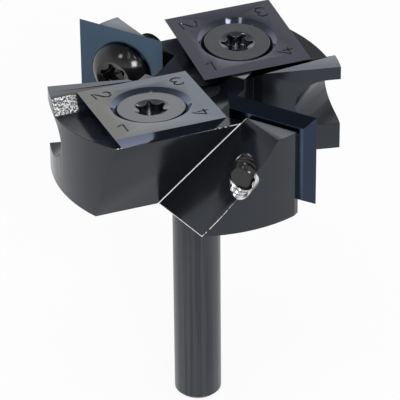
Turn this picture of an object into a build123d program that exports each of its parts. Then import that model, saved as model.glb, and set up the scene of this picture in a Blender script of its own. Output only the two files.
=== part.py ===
from build123d import *
from math import asin, cos, degrees, radians, sin, sqrt, tan
import os

# An indexable end mill with a round shank and a cutting head of four wings.
# The shank stands along Z with its free end at the origin, and the cutting face looks up.
# Two wings carry square inserts that lie almost flat, the other two carry square inserts on edge.
# Everything on the head repeats after half a turn about Z.

# Shank and head blank
shank_diameter = 6.0
shank_length = 35.0
shank_chamfer = 0.5
shank_fillet = 0.6
head_diameter = 35.9
head_height = 11.5
cutting_height = 1.35
cutting_margin = 0.95

# Flat insert and where it lies
flat_size = 14.0
flat_thickness = 2.0
flat_bevel_angle = 32.0
flat_recess_diameter = 9.7
flat_yaw = 20.6
flat_tilt = 4.9
flat_edge_distance = 12.45
flat_inner_gap = 0.66

# Side insert and where it stands
side_size = 12.0
side_thickness = 1.5
side_bevel_angle = 34.0
side_yaw = -30.1
side_rake_setback = 3.46

# Screws
thread_diameter = 4.0
thread_chamfer = 0.5
socket_diameter = 4.0
socket_inner_diameter = 2.85
socket_lobe_width = 0.55
socket_mouth_angle = 138.0
socket_depth = 1.7
flat_socket_turns = (-10.0, 14.0)
side_socket_turns = (14.0, 14.0)
flat_mouth_diameter = 4.4
flat_head_diameter = 8.2
flat_head_land = 0.4
flat_head_drop = 0.33
flat_screw_length = 8.0
side_mouth_diameter = 4.7
side_head_diameter = 8.0
side_head_height = 2.7
side_head_rim = 0.6
side_screw_length = 7.7

# Clearances
seat_clearance = 0.02
thread_clearance = 0.03
screw_hole_clearance = 0.2
hole_end_clearance = 1.0

# Pocket of the flat insert and the front face below it
front_undercut = 15.2
front_overhang = 0.24
top_step_distance = 2.35

# Gullet in front of the side insert
gullet_width = 9.46
gullet_inner_clearance = 0.96
trailing_yaw = 9.1
trailing_distance = 0.87

# Driver slot through the outer end of the flat wing
slot_width = 6.25
slot_drop = 0.2
slot_offset = 0.6

# Back of the side wing
facet_yaw = -55.2
facet_slope = 38.4
seat_edge_relief = 0.48
side_overhang = 0.6

head_radius = head_diameter / 2
head_top = shank_length + head_height
cutting_plane = head_top + cutting_height
cutting_radius = head_radius + cutting_margin
reach = 2 * (head_diameter + cutting_plane)


def heading(angle):
    """A level unit vector, angle degrees round from +X."""
    return Vector(cos(radians(angle)), sin(radians(angle)), 0)


def beyond(point, normal):
    """A large block with one face through point, filling the side that normal points to."""
    return Plane(origin=point, z_dir=normal) * Box(reach, reach, reach, align=(Align.CENTER, Align.CENTER, Align.MIN))


def crossing(direction_1, distance_1, direction_2, distance_2):
    """The level point that lies distance_1 along direction_1 and distance_2 along direction_2."""
    scale = direction_1.X * direction_2.Y - direction_1.Y * direction_2.X
    x = (distance_1 * direction_2.Y - direction_1.Y * distance_2) / scale
    y = (direction_1.X * distance_2 - distance_1 * direction_2.X) / scale
    return Vector(x, y, 0)


# Directions of the flat insert: along its leading edge, back from that edge, and out of its face
flat_along = heading(flat_yaw)
flat_front = heading(flat_yaw - 90)
flat_normal = Vector(0, 0, cos(radians(flat_tilt))) - flat_front * sin(radians(flat_tilt))
flat_back = flat_normal.cross(flat_along)
flat_bevel = flat_thickness * tan(radians(flat_bevel_angle))

flat_edge_middle = (
    flat_front * flat_edge_distance
    - flat_along * (flat_inner_gap + flat_size / 2)
    + Vector(0, 0, cutting_plane)
)
flat_centre = flat_edge_middle + flat_back * (flat_size / 2)
flat_plane = Plane(origin=flat_centre, x_dir=flat_along, z_dir=flat_normal)

# Directions of the side insert: outward along its top edge, and out of its rake face
side_out = heading(side_yaw)
side_normal = heading(side_yaw + 90)
side_bevel = side_thickness * tan(radians(side_bevel_angle))
side_outer_edge = sqrt(cutting_radius**2 - side_rake_setback**2)
side_inner_edge = side_outer_edge - side_size
side_centre_out = side_outer_edge - side_size / 2
side_centre = (
    side_out * side_centre_out
    - side_normal * side_rake_setback
    + Vector(0, 0, cutting_plane - side_size / 2)
)
side_plane = Plane(origin=side_centre, x_dir=side_out, z_dir=side_normal)
side_seat_distance = side_rake_setback + side_thickness + seat_clearance

# The front face of the flat wing leans back below the seat's front edge
front_edge_point = flat_centre - flat_normal * flat_thickness - flat_back * (flat_size / 2 - flat_bevel - front_overhang)
front_normal = flat_front * cos(radians(front_undercut)) - Vector(0, 0, sin(radians(front_undercut)))
front_distance = flat_front.dot(front_edge_point) + (head_top - front_edge_point.Z) * tan(radians(front_undercut))

# The facet on the back of the side wing starts where that front face meets the side seat's relieved edge
facet_corner = crossing(flat_front, front_distance, side_normal, -side_seat_distance - seat_edge_relief)
facet_corner = facet_corner + Vector(0, 0, head_top)
facet_normal = heading(facet_yaw - 90) * cos(radians(facet_slope)) + Vector(0, 0, sin(radians(facet_slope)))


def both(cut):
    """A cut and its copy after half a turn."""
    return cut + cut.rotate(Axis.Z, 180)


def blank():
    """The shank and the round head before any wing is cut."""
    shank = Pos(0, 0, shank_length / 2) * Cylinder(shank_diameter / 2, shank_length)
    head = Pos(0, 0, shank_length + head_height / 2) * Cylinder(head_radius, head_height)
    shank = chamfer(shank.edges().group_by(Axis.Z)[0], shank_chamfer)
    body = shank + head
    root = body.edges().filter_by(GeomType.CIRCLE).filter_by(lambda edge: abs(edge.radius - shank_diameter / 2) < 1e-6)
    return fillet(root.sort_by(Axis.Z)[-1], shank_fillet)


def gap_before_front():
    """The open space between a flat wing's front face and the next side wing's facet."""
    return beyond(front_edge_point, front_normal) & beyond(facet_corner, facet_normal)


def flat_pocket():
    """The room above the flat insert's seat, with a back wall that leans with the insert's bevel."""
    floor_point = flat_centre - flat_normal * (flat_thickness + seat_clearance)
    lean = radians(flat_bevel_angle)
    wall_normal = flat_back * cos(lean) - flat_normal * sin(lean)
    wall_point = flat_centre + flat_back * (flat_size / 2) + wall_normal * seat_clearance
    above_floor = beyond(floor_point, flat_normal)
    before_wall = beyond(wall_point, -wall_normal)
    behind_front = beyond(front_edge_point, -front_normal)
    before_step = beyond(side_normal * top_step_distance, -side_normal)
    return above_floor & before_wall & behind_front & before_step


def gullet():
    """The chip space between the side insert's seat and the trailing face of the flat wing ahead."""
    inner_wall = beyond(side_out * (side_inner_edge - gullet_inner_clearance), side_out)
    before_seat = beyond(side_normal * -side_seat_distance, side_normal)
    before_far_wall = beyond(side_normal * (gullet_width - side_seat_distance), -side_normal)
    trailing_normal = heading(trailing_yaw - 90)
    before_trailing_face = beyond(trailing_normal * trailing_distance, trailing_normal)
    chip_space = inner_wall & before_seat
    return (chip_space & before_far_wall) + (chip_space & before_trailing_face)


def seat_relief():
    """The bevel along the side seat's top edge, and the flat that trims its outer end."""
    edge_point = side_normal * -(side_seat_distance + seat_edge_relief) + Vector(0, 0, head_top)
    wing_side = beyond(side_normal * -(side_seat_distance + side_overhang + head_radius), side_normal)
    outer_half = beyond(side_out * side_inner_edge, side_out)
    before_seat_back = beyond(side_normal * (gullet_width - side_seat_distance), -side_normal)
    top_bevel = beyond(edge_point, side_normal + Vector(0, 0, 1)) & before_seat_back & outer_half
    end_flat = beyond(side_out * (side_outer_edge - side_bevel - side_overhang), side_out)
    below_seat = beyond(side_normal * -side_seat_distance, -side_normal)
    return top_bevel + (end_flat & below_seat & wing_side)


def driver_slot():
    """The slot that lets a driver reach the side screw past the flat wing ahead of it."""
    slot = SlotCenterPoint((head_radius, 0), (0, 0), slot_width)
    start = Plane(
        origin=side_centre + side_out * slot_offset - Vector(0, 0, slot_drop) + side_normal * side_rake_setback,
        x_dir=side_out,
        z_dir=side_normal,
    )
    return extrude(start * slot, amount=head_diameter)


def flat_screw_hole():
    """A blind tapped hole under the flat insert, with the end of the screw's countersink at its mouth."""
    radius = thread_diameter / 2 + thread_clearance
    depth = flat_head_drop + flat_screw_length + hole_end_clearance
    hole = Pos(0, 0, -depth / 2) * Cylinder(radius, depth)
    return flat_plane * (hole + flat_countersink(seat_clearance))


def side_screw_hole():
    """A tapped hole from the side seat through to the facet."""
    radius = thread_diameter / 2 + thread_clearance
    return side_plane * (Pos(0, 0, -head_radius / 2) * Cylinder(radius, head_radius))


def cutter_body():
    """Shank and head in one piece, with seats, gullets, driver slots and tapped holes."""
    body = blank()
    for cut in (gap_before_front(), flat_pocket(), gullet(), seat_relief(), driver_slot()):
        body = body - both(cut)
    for cut in (flat_screw_hole(), side_screw_hole()):
        body = body - both(cut)
    return body


def beveled_square(size, thickness, bevel):
    """A square plate with its large face at the origin and all four sides leaning in below it."""
    small = size - 2 * bevel
    return loft([Rectangle(size, size), Pos(0, 0, -thickness) * Rectangle(small, small)], ruled=True)


def flat_countersink(gap):
    """A right-angled cone that narrows from the flat insert's face to the thread, gap larger than the screw's."""
    top_radius = flat_recess_diameter / 2 + gap
    bottom_radius = thread_diameter / 2
    height = top_radius - bottom_radius
    return Pos(0, 0, -height / 2) * Cone(bottom_radius, top_radius, height)


def flat_insert():
    """A square insert with a countersunk recess, lying almost flat."""
    plate = beveled_square(flat_size, flat_thickness, flat_bevel)
    return flat_plane * (plate - flat_countersink(seat_clearance))


def side_insert():
    """A square insert with a plain hole, standing on edge."""
    plate = beveled_square(side_size, side_thickness, side_bevel)
    hole = Cylinder(thread_diameter / 2 + screw_hole_clearance, 4 * side_thickness)
    return side_plane * (plate - hole)


def socket(top, mouth_diameter, turn):
    """A six-lobed driver socket with a conical mouth at height top, turned about its axis."""
    outer = socket_diameter / 2
    inner = socket_inner_diameter / 2
    mouth = mouth_diameter / 2
    lobe_angle = 180 / 6 - degrees(asin(socket_lobe_width / socket_diameter))
    scallop_distance = (outer**2 - inner**2) / (2 * (outer * cos(radians(lobe_angle)) - inner))
    scallops = PolarLocations(scallop_distance, 6) * Circle(scallop_distance - inner)
    mouth_depth = mouth / tan(radians(socket_mouth_angle / 2))
    lobes = extrude(Pos(0, 0, top - socket_depth) * (Circle(outer) - scallops), amount=reach)
    cone = Pos(0, 0, top - mouth_depth / 2) * Cone(0, mouth, mouth_depth)
    room = Pos(0, 0, top + reach / 2) * Cylinder(mouth, reach)
    return Rot(0, 0, turn) * (lobes + cone + room)


def threaded_shank(top, length):
    """A plain shank at the thread's outer diameter, from height top down, chamfered at its end."""
    radius = thread_diameter / 2
    shank = Pos(0, 0, top - length / 2) * Cylinder(radius, length)
    return chamfer(shank.edges().group_by(Axis.Z)[0], thread_chamfer)


def flat_screw(turn):
    """A countersunk screw whose head ends just below the flat insert's face."""
    radius = flat_head_diameter / 2
    cone_height = radius - thread_diameter / 2
    cone_top = radius - flat_recess_diameter / 2
    land = Pos(0, 0, cone_top + flat_head_land / 2) * Cylinder(radius, flat_head_land)
    cone = Pos(0, 0, cone_top - cone_height / 2) * Cone(thread_diameter / 2, radius, cone_height)
    top = cone_top + flat_head_land
    shank = threaded_shank(cone_top - cone_height, flat_screw_length - flat_head_land - cone_height)
    return flat_plane * (land + cone + shank - socket(top, flat_mouth_diameter, turn))


def side_screw(turn):
    """A dome-headed screw that clamps the side insert against its seat."""
    radius = side_head_diameter / 2
    dome_height = side_head_height - side_head_rim
    dome_radius = (radius**2 + dome_height**2) / (2 * dome_height)
    rim = Pos(0, 0, side_head_height / 2) * Cylinder(radius, side_head_height)
    dome = Pos(0, 0, side_head_height - dome_radius) * Sphere(dome_radius)
    mouth_top = side_head_height - dome_radius + sqrt(dome_radius**2 - (side_mouth_diameter / 2) ** 2)
    shank = threaded_shank(0, side_screw_length)
    return side_plane * ((rim & dome) + shank - socket(mouth_top, side_mouth_diameter, turn))


def save(name, part, turned):
    """Write one piece to its own file, the second of a pair after half a turn."""
    export_step(part.rotate(Axis.Z, turned), f"parts/{name}.step")


os.makedirs("parts", exist_ok=True)
save("cutter_body", cutter_body(), 0)
for number, turned in ((1, 0), (2, 180)):
    save(f"flat_insert_{number}", flat_insert(), turned)
    save(f"side_insert_{number}", side_insert(), turned)
    save(f"flat_insert_screw_{number}", flat_screw(flat_socket_turns[number - 1]), turned)
    save(f"side_insert_screw_{number}", side_screw(side_socket_turns[number - 1]), turned)
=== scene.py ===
from math import asin, atan2, cos, degrees, pi, radians, sin, sqrt, tan

import bmesh
import bpy
from mathutils import Matrix, Vector


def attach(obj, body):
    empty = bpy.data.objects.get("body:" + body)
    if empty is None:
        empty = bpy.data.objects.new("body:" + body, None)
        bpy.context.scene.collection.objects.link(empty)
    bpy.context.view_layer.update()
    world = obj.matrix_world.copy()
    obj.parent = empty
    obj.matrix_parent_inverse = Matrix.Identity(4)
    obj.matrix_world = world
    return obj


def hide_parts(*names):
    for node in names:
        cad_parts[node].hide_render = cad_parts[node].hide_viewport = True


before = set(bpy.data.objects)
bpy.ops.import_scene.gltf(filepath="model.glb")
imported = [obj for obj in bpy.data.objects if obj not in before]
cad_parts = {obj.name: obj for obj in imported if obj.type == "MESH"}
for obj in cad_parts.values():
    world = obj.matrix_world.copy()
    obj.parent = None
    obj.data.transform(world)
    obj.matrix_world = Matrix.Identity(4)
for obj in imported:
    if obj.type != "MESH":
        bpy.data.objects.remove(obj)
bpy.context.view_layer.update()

# Every length below is in millimetres, and turns into metres where a mesh or an object is made
MM = 0.001
UP = Vector((0, 0, 1))

# The frame, as the solids have it
shank_diameter = 6.0
head_diameter = 35.9
head_bottom = 35.0
head_top = 46.5
cutting_plane = 47.85
flat_size = 14.0
flat_thickness = 2.0
flat_bevel_angle = 32.0
flat_yaw = 20.6
flat_tilt = 4.9
flat_edge_distance = 12.45
flat_inner_gap = 0.66
side_size = 12.0
side_thickness = 1.5
side_yaw = -30.1
side_rake_setback = 3.46
side_centre_out = 12.58
thread_diameter = 4.0
hole_radius = 2.03
front_undercut = 15.2
facet_yaw = -55.2
facet_slope = 38.4
front_overhang = 0.24
seat_edge_relief = 0.48
seat_clearance = 0.02

# Camera
camera_place = Vector((0.474, -313.556, 228.896))
camera_tip = 57.4466
camera_roll = -0.5307
camera_lens = 268.78
camera_sensor = 36.0


def heading(angle):
    """A level unit vector, angle degrees round from +X."""
    return Vector((cos(radians(angle)), sin(radians(angle)), 0))


flat_along = heading(flat_yaw)
flat_front = heading(flat_yaw - 90)
flat_normal = UP * cos(radians(flat_tilt)) - flat_front * sin(radians(flat_tilt))
flat_back = flat_normal.cross(flat_along)
flat_centre = (
    flat_front * flat_edge_distance
    - flat_along * (flat_inner_gap + flat_size / 2)
    + UP * cutting_plane
    + flat_back * (flat_size / 2)
)
side_out = heading(side_yaw)
side_normal = heading(side_yaw + 90)
side_centre = side_out * side_centre_out - side_normal * side_rake_setback + UP * (cutting_plane - side_size / 2)
front_normal = flat_front * cos(radians(front_undercut)) - UP * sin(radians(front_undercut))
facet_normal = heading(facet_yaw - 90) * cos(radians(facet_slope)) + UP * sin(radians(facet_slope))


flat_bevel = flat_thickness * tan(radians(flat_bevel_angle))
side_seat_distance = side_rake_setback + side_thickness + seat_clearance


def plane(point, normal):
    """A plane as its normal and its distance along it."""
    return normal, normal.dot(point)


def meet(*planes):
    """The point that three planes share."""
    rows = Matrix([normal for normal, distance in planes])
    return rows.inverted() @ Vector([distance for normal, distance in planes])


top_plane = (UP, head_top)
bottom_plane = (UP, head_bottom)
front_edge_point = flat_centre - flat_normal * flat_thickness - flat_back * (flat_size / 2 - flat_bevel - front_overhang)
front_plane = plane(front_edge_point, front_normal)
seat_plane = plane(flat_centre - flat_normal * (flat_thickness + seat_clearance), flat_normal)
facet_corner = meet(front_plane, (side_normal, -side_seat_distance - seat_edge_relief), top_plane)
facet_plane = plane(facet_corner, facet_normal)
facet_across = UP.cross(facet_normal).normalized()
arc_centre = facet_corner + Vector((-22, -4, -16))
pocket_wall_normal = flat_back * cos(radians(flat_bevel_angle)) - flat_normal * sin(radians(flat_bevel_angle))


def placed(origin, x_dir, z_dir):
    """The matrix of a plane in the frame, from millimetres to metres."""
    y_dir = z_dir.cross(x_dir)
    matrix = Matrix((x_dir, y_dir, z_dir)).transposed().to_4x4()
    matrix.translation = origin
    return Matrix.Scale(MM, 4) @ matrix


# Where each insert's finish starts and ends along the insert and back from its front edge
SPANS = {
    "carbide_flat_1": ((-14.7, -0.7), (-12.5, 1.5)),
    "carbide_flat_2": ((0.7, 14.7), (-1.5, 12.5)),
    "carbide_side_1": ((6.6, 18.6), (35.9, 47.9)),
    "carbide_side_2": ((6.6, 18.6), (35.9, 47.9)),
}
flat_place = placed(flat_centre, flat_along, flat_normal)
side_place = placed(side_centre, side_out, side_normal)
half_turn = Matrix.Rotation(pi, 4, "Z")


# ---- materials


class Finish:
    """One material and short calls that add nodes to it. Lengths in its nodes are millimetres."""

    def __init__(self, name, metallic=0.0, ior=1.5):
        self.material = bpy.data.materials.new(name)
        self.material.use_nodes = True
        self.tree = self.material.node_tree
        self.shader = self.tree.nodes["Principled BSDF"]
        self.shader.inputs["Metallic"].default_value = metallic
        self.shader.inputs["IOR"].default_value = ior
        coordinates = self.node("ShaderNodeTexCoord")
        self.place = self.vector("SCALE", coordinates.outputs["Object"], scale=1 / MM)
        self.normal = self.node("ShaderNodeNewGeometry").outputs["Normal"]

    def node(self, kind, **settings):
        made = self.tree.nodes.new(kind)
        for key, value in settings.items():
            setattr(made, key, value)
        return made

    def feed(self, socket, value):
        if isinstance(value, bpy.types.NodeSocket):
            self.tree.links.new(value, socket)
        elif value is not None:
            socket.default_value = value

    def math(self, operation, a, b=None, c=None, clamp=False):
        made = self.node("ShaderNodeMath", operation=operation, use_clamp=clamp)
        for socket, value in zip(made.inputs, (a, b, c)):
            self.feed(socket, value)
        return made.outputs[0]

    def vector(self, operation, a, b=None, scale=None):
        made = self.node("ShaderNodeVectorMath", operation=operation)
        self.feed(made.inputs[0], a)
        self.feed(made.inputs[1], b)
        if scale is not None:
            made.inputs["Scale"].default_value = scale
        return made.outputs["Value"] if operation in ("DOT_PRODUCT", "LENGTH", "DISTANCE") else made.outputs[0]

    def dot(self, a, direction):
        return self.vector("DOT_PRODUCT", a, tuple(direction))

    def ramp(self, value, low, high, to_low=0.0, to_high=1.0, smooth=True):
        """Goes from to_low to to_high while value goes from low to high."""
        made = self.node("ShaderNodeMapRange", interpolation_type="SMOOTHSTEP" if smooth else "LINEAR")
        for socket, number in zip(made.inputs, (value, low, high, to_low, to_high)):
            self.feed(socket, number)
        return made.outputs[0]

    def noise(self, scale, detail=2.0, roughness=0.5, stretch=None, at=None):
        """Noise with scale features per millimetre, stretched by dividing each direction."""
        place = self.place if at is None else at
        if stretch is not None:
            place = self.vector("MULTIPLY", place, tuple(1 / s for s in stretch))
        made = self.node("ShaderNodeTexNoise")
        self.feed(made.inputs["Vector"], place)
        made.inputs["Scale"].default_value = scale
        made.inputs["Detail"].default_value = detail
        made.inputs["Roughness"].default_value = roughness
        return made.outputs["Fac"]

    def mix(self, factor, a, b):
        """Colour a, going to colour b as factor goes to 1."""
        made = self.node("ShaderNodeMix", data_type="RGBA")
        self.feed(made.inputs["Factor"], factor)
        for socket, colour in ((made.inputs[6], a), (made.inputs[7], b)):
            self.feed(socket, colour if isinstance(colour, bpy.types.NodeSocket) else (*colour, 1.0))
        return made.outputs[2]

    def lerp(self, factor, a, b):
        """Number a, going to number b as factor goes to 1."""
        made = self.node("ShaderNodeMix", data_type="FLOAT")
        self.feed(made.inputs["Factor"], factor)
        self.feed(made.inputs[2], a)
        self.feed(made.inputs[3], b)
        return made.outputs[0]

    def along_folded(self, place, *directions):
        """A place as measured along two directions."""
        made = self.node("ShaderNodeCombineXYZ")
        for socket, direction in zip(made.inputs, directions):
            self.feed(socket, self.dot(place, direction))
        return made.outputs[0]

    def folded(self):
        """Place and normal with the far half of the head turned onto the near half, where Y is below 0."""
        split = self.node("ShaderNodeSeparateXYZ")
        self.feed(split.inputs[0], self.place)
        side = self.math("SIGN", self.math("MULTIPLY", split.outputs[1], -1.0))
        turn = self.node("ShaderNodeCombineXYZ")
        self.feed(turn.inputs[0], side)
        self.feed(turn.inputs[1], side)
        turn.inputs[2].default_value = 1.0
        return self.vector("MULTIPLY", self.place, turn.outputs[0]), self.vector("MULTIPLY", self.normal, turn.outputs[0])

    def near(self, distance, width):
        """1 where distance is well inside width, and 0 beyond it."""
        return self.ramp(distance, width, width * 0.6)

    def both(self, a, b):
        return self.math("MULTIPLY", a, b)

    def bump(self, height, depth, strength=1.0):
        """Bump from a height that is 1 at depth millimetres."""
        made = self.node("ShaderNodeBump")
        made.inputs["Strength"].default_value = strength
        made.inputs["Distance"].default_value = depth * MM
        self.feed(made.inputs["Height"], height)
        self.feed(self.shader.inputs["Normal"], made.outputs["Normal"])

    def paint(self, colour, roughness):
        self.feed(self.shader.inputs["Base Color"], colour if isinstance(colour, bpy.types.NodeSocket) else (*colour, 1.0))
        self.feed(self.shader.inputs["Roughness"], roughness)
        return self.material


def oxide_finish():
    """Black oxide over milled steel, with ground tops, bare metal lines along some edges, a painted highlight along
    the valley between front face and facet, and one rough wall.
    """
    finish = Finish("black_oxide_steel", ior=1.55)
    finish.shader.inputs["Specular Tint"].default_value = (0.82, 0.89, 1.0, 1.0)
    place, normal = finish.folded()

    def from_plane(plane):
        return finish.math("ABSOLUTE", finish.math("SUBTRACT", finish.dot(place, plane[0]), plane[1]))

    split = finish.node("ShaderNodeSeparateXYZ")
    finish.feed(split.inputs[0], place)
    level = finish.node("ShaderNodeCombineXYZ")
    finish.feed(level.inputs[0], split.outputs[0])
    finish.feed(level.inputs[1], split.outputs[1])
    radius = finish.vector("LENGTH", level.outputs[0])
    off_rim = finish.math("ABSOLUTE", finish.math("SUBTRACT", radius, head_diameter / 2))
    off_front, off_facet, off_seat = from_plane(front_plane), from_plane(facet_plane), from_plane(seat_plane)
    off_bottom = from_plane(bottom_plane)

    cloud = finish.noise(0.30, 3.0)
    grain = finish.noise(7.0, 3.0, 0.6)
    ragged = finish.noise(2.2, 3.0, 0.7)
    dots = finish.noise(3.2, 2.0, 0.5)

    top = finish.math("MULTIPLY", finish.ramp(split.outputs[2], head_top - 0.06, head_top - 0.02), finish.ramp(finish.dot(normal, UP), 0.97, 0.99))
    front = finish.ramp(finish.dot(normal, front_normal), 0.97, 0.99)
    facet = finish.ramp(finish.dot(normal, facet_normal), 0.97, 0.99)
    shank = finish.math("LESS_THAN", radius, shank_diameter / 2 + 0.1)

    # The line along the valley between the front face and the facet is a painted highlight: near-white colour
    # standing in for light caught by a fillet there. The ragged lines on the facet's edges and the dots on the seat
    # edge are bare metal.
    valley_highlight = finish.both(finish.near(off_front, 0.10), finish.near(off_facet, 0.10))
    facet_low = finish.both(finish.near(off_facet, 0.07), finish.near(off_bottom, 0.10))
    facet_rim = finish.both(finish.near(off_facet, 0.05), finish.near(off_rim, 0.06))
    facet_rim = finish.both(facet_rim, finish.ramp(split.outputs[2], head_bottom + 5.5, head_bottom + 2.0))
    seat_edge = finish.both(finish.near(off_front, 0.10), finish.near(off_seat, 0.11))
    seat_edge = finish.both(seat_edge, finish.ramp(dots, 0.44, 0.52))
    bare_and_highlight = finish.math("MAXIMUM", valley_highlight, finish.both(facet_low, finish.ramp(ragged, 0.30, 0.42)))
    bare_and_highlight = finish.math("MAXIMUM", bare_and_highlight, finish.both(facet_rim, finish.ramp(ragged, 0.40, 0.55)))
    bare_and_highlight = finish.math("MAXIMUM", bare_and_highlight, seat_edge)

    # The rough end of the wall behind the flat insert
    wall = finish.ramp(finish.dot(normal, -pocket_wall_normal), 0.95, 0.98)
    wall = finish.both(wall, finish.ramp(finish.dot(place, flat_along), -flat_inner_gap - flat_size - 0.1, -flat_inner_gap - flat_size - 0.3))
    speckle = finish.noise(4.2, 3.0, 0.75)

    dark = finish.mix(cloud, (0.0035, 0.0037, 0.0050), (0.0075, 0.0080, 0.0100))
    ground = finish.mix(cloud, (0.215, 0.220, 0.238), (0.250, 0.256, 0.275))
    colour = finish.mix(top, dark, ground)
    streaks = finish.noise(1.0, 3.0, 0.6, stretch=(0.35, 0.35, 30.0))
    shank_colour = finish.mix(finish.ramp(streaks, 0.35, 0.65), (0.006, 0.006, 0.008), (0.030, 0.031, 0.035))
    colour = finish.mix(shank, colour, shank_colour)
    colour = finish.mix(wall, colour, finish.mix(finish.ramp(speckle, 0.44, 0.56), (0.03, 0.03, 0.03), (0.85, 0.85, 0.85)))
    # Bare metal on edges and seat dots, and the painted highlight along the valley
    colour = finish.mix(bare_and_highlight, colour, (0.92, 0.92, 0.93))

    # Milling marks: level lines on the front face, arcs on the facet
    lines = finish.noise(1.0, 4.0, 0.6, at=finish.along_folded(place, flat_along / 5.0, UP / 0.11))
    lines_share = finish.both(front, finish.ramp(finish.noise(0.16, 1.0), 0.42, 0.60))
    arc = finish.vector("DISTANCE", place, tuple(arc_centre))
    swirl = finish.node("ShaderNodeCombineXYZ")
    finish.feed(swirl.inputs[0], finish.math("MULTIPLY", arc, 1 / 0.24))
    finish.feed(swirl.inputs[1], finish.math("MULTIPLY", finish.dot(place, facet_across), 1 / 1.3))
    arcs = finish.noise(1.0, 2.0, 0.5, at=swirl.outputs[0])
    arcs_share = finish.both(facet, finish.ramp(finish.noise(0.20, 1.0), 0.35, 0.55))
    height = finish.math("MULTIPLY", grain, 0.0010)
    height = finish.math("ADD", height, finish.math("MULTIPLY", finish.both(lines, lines_share), 0.0035))
    height = finish.math("ADD", height, finish.math("MULTIPLY", finish.both(arcs, arcs_share), 0.0050))
    height = finish.math("ADD", height, finish.math("MULTIPLY", finish.both(speckle, wall), 0.12))
    finish.bump(height, 1.0)

    metal = finish.math("MAXIMUM", top, finish.math("MULTIPLY", wall, 0.6))
    finish.feed(finish.shader.inputs["Metallic"], finish.math("MAXIMUM", metal, finish.math("MULTIPLY", bare_and_highlight, 0.35)))
    roughness = finish.ramp(cloud, 0.3, 0.7, 0.17, 0.23)
    roughness = finish.lerp(top, roughness, 0.27)
    roughness = finish.lerp(shank, roughness, 0.33)
    roughness = finish.lerp(finish.math("MAXIMUM", bare_and_highlight, wall), roughness, 0.42)
    return finish.paint(colour, roughness)


def insert_finish(name, along, back, corners, side, ground_roughness=0.2):
    """Carbide, ground on its face and polished elsewhere, its colour shifting from corner to corner.

    corners are the colours at the front left, front right, back left and back right of the face."""
    finish = Finish(name, metallic=1.0)
    face = finish.ramp(finish.math("ABSOLUTE", finish.dot(finish.normal, along.cross(back))), 0.97, 0.99)
    right = finish.ramp(finish.dot(finish.place, along), *SPANS[name][0], smooth=False)
    far = finish.ramp(finish.dot(finish.place, back), *SPANS[name][1], smooth=False)
    cloud = finish.math("SUBTRACT", finish.noise(0.25, 2.0), 0.5)
    right = finish.math("ADD", right, finish.math("MULTIPLY", cloud, 0.9), clamp=True)
    far = finish.math("SUBTRACT", far, finish.math("MULTIPLY", cloud, 0.9), clamp=True)
    colour = finish.mix(far, finish.mix(right, corners[0], corners[1]), finish.mix(right, corners[2], corners[3]))
    colour = finish.mix(face, side, colour)
    fine = finish.noise(8.0, 3.0)
    roughness = finish.lerp(face, 0.10, finish.ramp(fine, 0.3, 0.7, ground_roughness - 0.02, ground_roughness + 0.03))
    finish.bump(finish.math("MULTIPLY", fine, face), 0.0012)
    return finish.paint(colour, roughness)


def groove_finish():
    """The black in the stamped numbers."""
    finish = Finish("number_black", ior=1.5)
    return finish.paint(finish.mix(finish.noise(3.0), (0.004, 0.004, 0.005), (0.012, 0.012, 0.014)), 0.18)


def flat_screw_finish(name, dark, light):
    """Dark satin screw."""
    finish = Finish(name, metallic=1.0)
    cloud = finish.noise(0.8, 3.0)
    fine = finish.noise(9.0, 2.0)
    finish.bump(fine, 0.0015)
    return finish.paint(finish.mix(cloud, dark, light), finish.ramp(cloud, 0.3, 0.7, 0.20, 0.27))


def gloss_screw_finish():
    """Glossy black screw."""
    finish = Finish("screw_black_gloss", ior=1.5)
    cloud = finish.noise(0.9, 3.0)
    fine = finish.noise(5.0, 3.0)
    finish.bump(fine, 0.0025)
    return finish.paint(finish.mix(cloud, (0.003, 0.003, 0.0035), (0.008, 0.008, 0.009)), finish.ramp(cloud, 0.3, 0.7, 0.12, 0.17))


def bare_thread_finish():
    """Bright thread cut in the body, where no black has reached."""
    finish = Finish("bare_thread_steel", metallic=1.0)
    cloud = finish.noise(2.0, 3.0)
    return finish.paint(finish.mix(cloud, (0.55, 0.55, 0.57), (0.90, 0.90, 0.91)), 0.22)


# ---- meshes


def make(name, vertices, faces, matrix, body="root", slot="screw_steel"):
    """A piece from vertices in millimetres in its own plane, set in the frame by matrix."""
    mesh = bpy.data.meshes.new(name)
    mesh.from_pydata([matrix @ Vector(vertex) for vertex in vertices], [], faces)
    mesh.validate()
    model = bmesh.new()
    model.from_mesh(mesh)
    bmesh.ops.recalc_face_normals(model, faces=model.faces)
    model.to_mesh(mesh)
    model.free()
    for polygon in mesh.polygons:
        polygon.use_smooth = True
    mesh.set_sharp_from_angle(angle=radians(18))
    piece = bpy.data.objects.new(name, mesh)
    bpy.context.scene.collection.objects.link(piece)
    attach(piece, body)
    return piece


around = 120
thread_pitch = 0.7
thread_crest = 1.98
thread_root = 1.56
rows_per_pitch = 10


def thread_height(angle, height):
    """0 in the thread's root and 1 on its crest."""
    phase = (height / thread_pitch - angle / (2 * pi)) % 1
    return min(1, max(0, (abs(2 * phase - 1) - 0.15) / 0.7))


def lathe(rows):
    """Vertices and faces of a closed form from rows of (radius, height), each a number or a function of the angle."""
    vertices = []
    for radius, height in rows:
        for step in range(around):
            angle = 2 * pi * step / around
            r = radius(angle) if callable(radius) else radius
            z = height(angle) if callable(height) else height
            vertices.append((r * cos(angle), r * sin(angle), z))
    faces = []
    for row in range(len(rows) - 1):
        for step in range(around):
            a = row * around + step
            b = row * around + (step + 1) % around
            faces.append((a, b, b + around, a + around))
    faces.append(tuple(range(around)))
    faces.append(tuple(range((len(rows) - 1) * around, len(rows) * around)))
    return vertices, faces


socket_outer = 2.0
socket_inner = 1.425
socket_lobe_half = asin(0.55 / 4.0)
socket_depth = 1.7
socket_slope = tan(radians(69))
lobe_angle = pi / 6 - socket_lobe_half
scallop_distance = (socket_outer**2 - socket_inner**2) / (2 * (socket_outer * cos(lobe_angle) - socket_inner))
scallop_radius = scallop_distance - socket_inner


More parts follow.
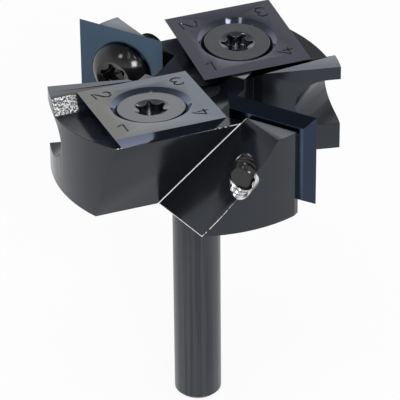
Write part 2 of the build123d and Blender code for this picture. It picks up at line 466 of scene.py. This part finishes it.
def lobed(turn, grow=0.0):
    """The socket's outline as a function of the angle."""

    def radius(angle):
        part = (angle - radians(turn) + pi / 6) % (pi / 3) - pi / 6
        inside = scallop_radius**2 - (scallop_distance * sin(part)) ** 2
        near = scallop_distance * cos(part) - sqrt(inside) if inside > 0 else socket_outer
        return min(socket_outer, near) + grow

    return radius


def socket_rows(mouth, top, turn):
    """Rows from the mouth's edge down the socket to its floor."""
    edge = 0.05

    def cone(angle):
        return top - (mouth - lobed(turn, edge)(angle)) / socket_slope

    def below(angle):
        return cone(angle) - edge

    floor = top - socket_depth
    return [
        (mouth, top),
        (lobed(turn, edge), cone),
        (lobed(turn), below),
        (lobed(turn), floor + edge),
        (lobed(turn, -edge), floor),
        (0.8, floor),
        (0.05, floor - 0.25),
    ]


def thread_rows(start, end, tip_radius):
    """Rows of a threaded shank from its tip at height start up to height end."""
    count = round((end - start) / thread_pitch * rows_per_pitch)
    rows = [(tip_radius - 0.04, start)]
    for index in range(1, count + 1):
        height = start + (end - start) * index / count
        limit = tip_radius + (height - start) * 1.15

        def radius(angle, height=height, limit=limit):
            full = thread_root + (thread_crest - thread_root) * thread_height(angle, height)
            return min(full, limit)

        rows.append((radius, height))
    return rows


def side_screw_rows(turn):
    """A dome-headed screw, its head's underside at height 0."""
    head_radius, head_height, rim, mouth, length, edge = 4.0, 2.7, 0.6, 2.35, 7.7, 0.06
    dome = (head_radius**2 + (head_height - rim) ** 2) / (2 * (head_height - rim))
    top = head_height - dome + sqrt(dome**2 - mouth**2)
    rows = thread_rows(-length, -0.5, 1.34)
    rows += [(1.95, -0.3), (1.95, 0.0), (head_radius - 0.15, 0.0), (head_radius, 0.12), (head_radius, rim - edge)]
    steps = 16
    for index in range(steps):
        radius = head_radius - 0.05 - (head_radius - 0.05 - mouth - edge) * index / (steps - 1)
        rows.append((radius, head_height - dome + sqrt(dome**2 - radius**2)))
    return rows + socket_rows(mouth, top - 0.02, turn)


def flat_screw_rows(turn):
    """A countersunk screw, its height 0 at the insert's face."""
    head_radius, land, mouth, length, edge = 4.1, 0.4, 2.2, 8.0, 0.07
    cone_top = -0.75
    top = cone_top + land
    neck = cone_top - (head_radius - thread_diameter / 2)
    rows = thread_rows(top - length, neck - 0.3, 1.34)
    rows += [(1.95, neck - 0.1), (thread_diameter / 2 - 0.02, neck), (head_radius - 0.02, cone_top), (head_radius, cone_top + 0.03)]
    rows += [(head_radius, top - edge), (head_radius - 0.3 * edge, top - 0.3 * edge), (head_radius - edge, top)]
    return rows + socket_rows(mouth, top, turn)


def set_screws(flat_finishes, side_finish):
    """The four screws, each in place of its solid."""
    for number, turn in ((1, -10.0), (2, 14.0)):
        matrix = Matrix() if number == 1 else half_turn
        piece = make(f"flat_screw_{number}", *lathe(flat_screw_rows(turn)), matrix @ flat_place)
        piece.data.materials.append(flat_finishes[number - 1])
        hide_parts(f"flat_insert_screw_{number}")
        piece = make(f"side_screw_{number}", *lathe(side_screw_rows(14.0)), matrix @ side_place)
        piece.data.materials.append(side_finish)
        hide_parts(f"side_insert_screw_{number}")


def shading_group(angle):
    """Geometry nodes that keep flats flat: edges above angle are sharp and all else is smooth."""
    group = bpy.data.node_groups.new("shading", "GeometryNodeTree")
    for in_out in ("INPUT", "OUTPUT"):
        group.interface.new_socket("Geometry", in_out=in_out, socket_type="NodeSocketGeometry")
    nodes, links = group.nodes, group.links
    taken, given = nodes.new("NodeGroupInput"), nodes.new("NodeGroupOutput")
    turn = nodes.new("GeometryNodeInputMeshEdgeAngle")
    sharp = nodes.new("FunctionNodeCompare")
    sharp.operation = "GREATER_THAN"
    links.new(turn.outputs["Unsigned Angle"], sharp.inputs[0])
    sharp.inputs[1].default_value = radians(angle)
    shade = nodes.new("GeometryNodeSetMeshNormal")
    shade.mode = "SHARPNESS"
    shade.inputs["Remove Custom"].default_value = True
    links.new(taken.outputs[0], shade.inputs["Mesh"])
    links.new(sharp.outputs[0], shade.inputs["Edge Sharpness"])
    links.new(shade.outputs["Mesh"], given.inputs[0])
    return group


def clean(piece, width, angle=30, shade=True):
    """Merges the solid's flat faces and rounds its edges, as modifiers."""
    weld = piece.modifiers.new("weld", "WELD")
    weld.merge_threshold = 0.0005 * MM
    flats = piece.modifiers.new("flats", "DECIMATE")
    flats.decimate_type = "DISSOLVE"
    flats.angle_limit = radians(0.5)
    edges = piece.modifiers.new("edges", "BEVEL")
    edges.width = width * MM
    edges.segments = 2
    edges.limit_method = "ANGLE"
    edges.angle_limit = radians(angle)
    edges.use_clamp_overlap = False
    if shade:
        shading = piece.modifiers.new("shading", "NODES")
        shading.node_group = shading_group(18)


DIGITS = {
    1: (((-0.47, 0.66), (0.02, 0.92)), ((0.27, 0.95), (0.25, -0.91))),
    2: (
        ((-0.74, 0.40), (-0.68, 0.82), (-0.30, 1.06), (0.34, 1.02), (0.64, 0.58), (0.45, 0.12), (0.00, -0.25), (-0.60, -0.76)),
        ((-0.78, -1.08), (0.76, -0.90)),
    ),
    3: (
        ((-0.62, 0.66), (-0.40, 0.92), (0.10, 0.96), (0.48, 0.70), (0.42, 0.28), (0.04, 0.06)),
        ((0.10, 0.02), (0.52, -0.10), (0.68, -0.50), (0.33, -0.88), (-0.20, -0.95), (-0.72, -0.66)),
    ),
    4: (((0.30, 0.95), (-0.62, -0.42)), ((-0.45, -0.46), (0.70, -0.46)), ((0.36, 0.30), (0.36, -0.95))),
}
DIGIT_CORNERS = {1: (-5.1, -4.55), 2: (-4.5, 4.85), 3: (5.0, 4.7), 4: (4.7, -4.5)}
stroke_width = 0.32
stroke_depth = 0.13


def stroke_solid(points, vertices, faces):
    """Adds one stamped stroke: a closed rod of diamond section along points, pointed at both ends."""
    start = len(vertices)
    last = len(points) - 1
    for index, point in enumerate(points):
        before, after = points[max(index - 1, 0)], points[min(index + 1, last)]
        way = (after - before).normalized()
        across = Vector((-way.y, way.x, 0))
        width = stroke_width / 2 * (0.75 if index in (0, last) else 1.0)
        for offset in (across * width, UP * stroke_depth, across * -width, UP * -stroke_depth):
            vertices.append(point + offset)
    tip = stroke_width / 2
    vertices.append(points[0] + (points[0] - points[1]).normalized() * tip)
    vertices.append(points[last] + (points[last] - points[last - 1]).normalized() * tip)
    for index in range(last):
        for corner in range(4):
            a = start + 4 * index + corner
            b = start + 4 * index + (corner + 1) % 4
            faces.append((a, b, b + 4, a + 4))
    for corner in range(4):
        faces.append((start + (corner + 1) % 4, start + corner, len(vertices) - 2))
        faces.append((start + 4 * last + corner, start + 4 * last + (corner + 1) % 4, len(vertices) - 1))


def digits_cutter(matrix, turn):
    """One solid of all four numbers, as stamped in a flat insert's corners, each a quarter turn on from the last."""
    vertices, faces = [], []
    for digit, strokes in DIGITS.items():
        quarter = Matrix.Rotation(-pi / 2 * (digit - 1), 3, "Z")
        corner = Vector((*DIGIT_CORNERS[digit], 0))
        for stroke in strokes:
            points = [turn @ (corner + quarter @ Vector((x, y, 0))) for x, y in stroke]
            stroke_solid(points, vertices, faces)
    mesh = bpy.data.meshes.new("numbers")
    mesh.from_pydata([matrix @ vertex for vertex in vertices], [], faces)
    model = bmesh.new()
    model.from_mesh(mesh)
    bmesh.ops.recalc_face_normals(model, faces=model.faces)
    model.to_mesh(mesh)
    model.free()
    for polygon in mesh.polygons:
        polygon.material_index = 1
    cutter = bpy.data.objects.new("numbers", mesh)
    bpy.context.scene.collection.objects.link(cutter)
    return cutter


def numbered_insert(number, finish, groove):
    """A flat insert with rounded edges and stamped numbers, in place of its solid."""
    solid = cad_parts[f"flat_insert_{number}"]
    matrix = flat_place if number == 1 else half_turn @ flat_place
    turn = Matrix() if number == 1 else Matrix.Rotation(pi, 4, "Z")
    piece = bpy.data.objects.new(f"insert_{number}", solid.data.copy())
    bpy.context.scene.collection.objects.link(piece)
    piece.data.materials.clear()
    piece.data.materials.append(finish)
    piece.data.materials.append(groove)
    clean(piece, 0.025, shade=False)
    cutter = digits_cutter(matrix, turn.to_3x3())
    cut = piece.modifiers.new("numbers", "BOOLEAN")
    cut.object = cutter
    cut.operation = "DIFFERENCE"
    cut.solver = "EXACT"
    cut.use_self = True
    cut.material_mode = "INDEX"
    shading = piece.modifiers.new("shading", "NODES")
    shading.node_group = shading_group(18)
    bpy.context.view_layer.update()
    made = bpy.data.meshes.new_from_object(piece.evaluated_get(bpy.context.evaluated_depsgraph_get()))
    piece.modifiers.clear()
    piece.data = made
    bpy.data.objects.remove(cutter)
    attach(piece, "root")
    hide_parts(f"flat_insert_{number}")
    return piece


def hole_thread(number, finish):
    """The thread in a side screw's hole, from the facet to the seat: a ridge between the screw's turns."""
    axis = side_normal
    across = side_out
    up = axis.cross(across)
    wall, crest, count = hole_radius + 0.02, 1.70, 72
    seat = -(side_thickness + seat_clearance)
    step = thread_pitch / 10
    columns = []
    for index in range(count):
        angle = 2 * pi * index / count
        way = across * cos(angle) + up * sin(angle)
        rim = side_centre + way * hole_radius
        start = (facet_plane[1] - facet_normal.dot(rim)) / facet_normal.dot(axis)
        rows = max(2, round((seat - start) / step))
        columns.append((way, angle, start, rows))
    most = max(rows for way, angle, start, rows in columns)
    vertices, faces = [], []
    for way, angle, start, rows in columns:
        for row in range(most + 1):
            height = start + 0.02 + (seat - start - 0.04) * row / most
            ridge = 1 - thread_height(angle, height)
            radius = hole_radius - 0.01 - (hole_radius - 0.01 - crest) * ridge
            vertices.append(side_centre + way * radius + axis * height)
        for height in (seat - 0.02, start + 0.02):
            vertices.append(side_centre + way * wall + axis * height)
    span = most + 3
    for index in range(count):
        a, b = index * span, (index + 1) % count * span
        for row in range(span):
            after = (row + 1) % span
            faces.append((a + row, b + row, b + after, a + after))
    turn = Matrix() if number == 1 else half_turn
    piece = make(f"hole_thread_{number}", vertices, faces, turn @ Matrix.Scale(MM, 4), slot="body_steel")
    piece.data.materials.append(finish)


def set_hole_threads(finish):
    for number in (1, 2):
        hole_thread(number, finish)


def set_inserts():
    """Flat inserts with their numbers, and the side inserts' solids with their finish."""
    groove = groove_finish()
    blue, brown = (0.160, 0.190, 0.228), (0.178, 0.178, 0.172)
    numbered_insert(1, insert_finish("carbide_flat_1", flat_along, flat_back, (brown, blue, brown, blue), (0.12, 0.14, 0.21)), groove)
    violet, olive = (0.152, 0.152, 0.200), (0.176, 0.172, 0.156)
    far_back = (half_turn @ flat_back.to_4d()).to_3d()
    numbered_insert(2, insert_finish("carbide_flat_2", -flat_along, far_back, (violet, olive, violet, violet), (0.11, 0.12, 0.16)), groove)
    teal, slate = (0.058, 0.091, 0.132), (0.046, 0.066, 0.098)
    near = insert_finish("carbide_side_1", side_out, UP, (slate, teal, slate, teal), (0.034, 0.044, 0.074))
    far = insert_finish("carbide_side_2", -side_out, UP, (slate, slate, teal, teal), (0.034, 0.044, 0.074))
    clean(dress("side_insert_1", near), 0.025)
    clean(dress("side_insert_2", far), 0.025)


def dress(name, *finishes):
    """Gives a kept solid its finishes."""
    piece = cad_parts[name]
    piece.data.materials.clear()
    for finish in finishes:
        piece.data.materials.append(finish)
    return piece


# ---- stage


def studio():
    """A plain floor, a soft world and two soft boxes."""
    floor = bpy.data.meshes.new("floor")
    half = 3.0
    floor.from_pydata([(-half, -half, 0), (half, -half, 0), (half, half, 0), (-half, half, 0)], [], [(0, 1, 2, 3)])
    floor = bpy.data.objects.new("floor", floor)
    bpy.context.scene.collection.objects.link(floor)
    material = bpy.data.materials.new("floor_white")
    material.use_nodes = True
    nodes, links = material.node_tree.nodes, material.node_tree.links
    diffuse = nodes["Principled BSDF"]
    diffuse.inputs["Base Color"].default_value = (0.9, 0.9, 0.9, 1)
    diffuse.inputs["Roughness"].default_value = 0.9
    diffuse.inputs["Specular IOR Level"].default_value = 0.0
    glow = nodes.new("ShaderNodeEmission")
    glow.inputs["Strength"].default_value = 1.0
    share = seen_share(material.node_tree, 0.90)
    mix = nodes.new("ShaderNodeMixShader")
    links.new(share, mix.inputs[0])
    links.new(diffuse.outputs[0], mix.inputs[1])
    links.new(glow.outputs[0], mix.inputs[2])
    links.new(mix.outputs[0], nodes["Material Output"].inputs["Surface"])
    floor.data.materials.append(material)

    world = bpy.data.worlds.new("studio")
    bpy.context.scene.world = world
    world.use_nodes = True
    nodes, links = world.node_tree.nodes, world.node_tree.links
    background = nodes["Background"]
    background.inputs["Strength"].default_value = 1.0
    direction = nodes.new("ShaderNodeTexCoord")
    split = nodes.new("ShaderNodeSeparateXYZ")
    links.new(direction.outputs["Generated"], split.inputs[0])
    sky = nodes.new("ShaderNodeValToRGB")
    stops = ((0.0, 1.0), (0.30, 1.0), (0.41, 0.92), (0.59, 0.50), (0.66, 0.36), (0.85, 0.22), (1.0, 0.18))
    ramp = sky.color_ramp
    while len(ramp.elements) < len(stops):
        ramp.elements.new(0.5)
    for element, (place, level) in zip(ramp.elements, stops):
        element.position = place
        element.color = (level, level, level, 1)
    links.new(split.outputs["Z"], sky.inputs[0])
    plain = nodes.new("ShaderNodeMix")
    plain.data_type = "RGBA"
    plain.inputs[6].default_value = (0.6, 0.6, 0.6, 1)
    links.new(seen_share(world.node_tree, 1.0), plain.inputs["Factor"])
    links.new(sky.outputs[0], plain.inputs[7])
    links.new(plain.outputs[2], background.inputs["Color"])

    soft_box("box_front", 167, 31, 0.45, 0.11, 0.70)
    soft_box("box_right", 140, 55, 0.45, 0.07, 0.10)
    soft_box("box_left", -134, 48, 0.45, 0.07, 0.12)
    soft_box("box_high", 187, 60, 0.45, 0.04, 0.06, 0.20)
    top = soft_box("top", 200, 70, 0.6, 0.5, 0.8)
    top.visible_glossy = False


def seen_share(tree, share):
    """share where a camera, glossy or transmission ray sees the surface, and 0 for light on other things."""
    path = tree.nodes.new("ShaderNodeLightPath")
    total = path.outputs["Is Camera Ray"]
    for name in ("Is Glossy Ray", "Is Transmission Ray"):
        both = tree.nodes.new("ShaderNodeMath")
        both.operation = "MAXIMUM"
        tree.links.new(total, both.inputs[0])
        tree.links.new(path.outputs[name], both.inputs[1])
        total = both.outputs[0]
    scaled = tree.nodes.new("ShaderNodeMath")
    scaled.operation = "MULTIPLY"
    tree.links.new(total, scaled.inputs[0])
    scaled.inputs[1].default_value = share
    return scaled.outputs[0]


def soft_box(name, azimuth, elevation, distance, size, power, height=None):
    """A lamp that looks at the head. Its azimuth is clockwise from +Y."""
    aim = Vector((0, 0, 45 * MM))
    a, e = radians(azimuth), radians(elevation)
    away = Vector((sin(a) * cos(e), cos(a) * cos(e), sin(e)))
    lamp = bpy.data.lights.new(name, "AREA")
    lamp.shape = "RECTANGLE"
    lamp.size = size
    lamp.size_y = height or size
    lamp.energy = power
    lamp = bpy.data.objects.new(name, lamp)
    lamp.location = aim + away * distance
    lamp.rotation_euler = away.to_track_quat("Z", "Y").to_euler()
    bpy.context.scene.collection.objects.link(lamp)
    return lamp


def set_camera():
    camera = bpy.data.cameras.new("camera")
    camera.lens = camera_lens
    camera.sensor_width = camera_sensor
    camera = bpy.data.objects.new("camera", camera)
    turn = Matrix.Rotation(radians(camera_tip), 4, "X") @ Matrix.Rotation(radians(camera_roll), 4, "Z")
    camera.matrix_world = Matrix.Translation(camera_place * MM) @ turn
    bpy.context.scene.collection.objects.link(camera)
    bpy.context.scene.camera = camera


bpy.context.scene.view_settings.view_transform = "Standard"
set_camera()
studio()
clean(dress("cutter_body", oxide_finish()), 0.06)
set_inserts()
flat_finishes = (
    flat_screw_finish("screw_satin_1", (0.165, 0.172, 0.185), (0.205, 0.213, 0.228)),
    flat_screw_finish("screw_satin_2", (0.150, 0.158, 0.175), (0.185, 0.195, 0.215)),
)
set_screws(flat_finishes, gloss_screw_finish())
set_hole_threads(bare_thread_finish())
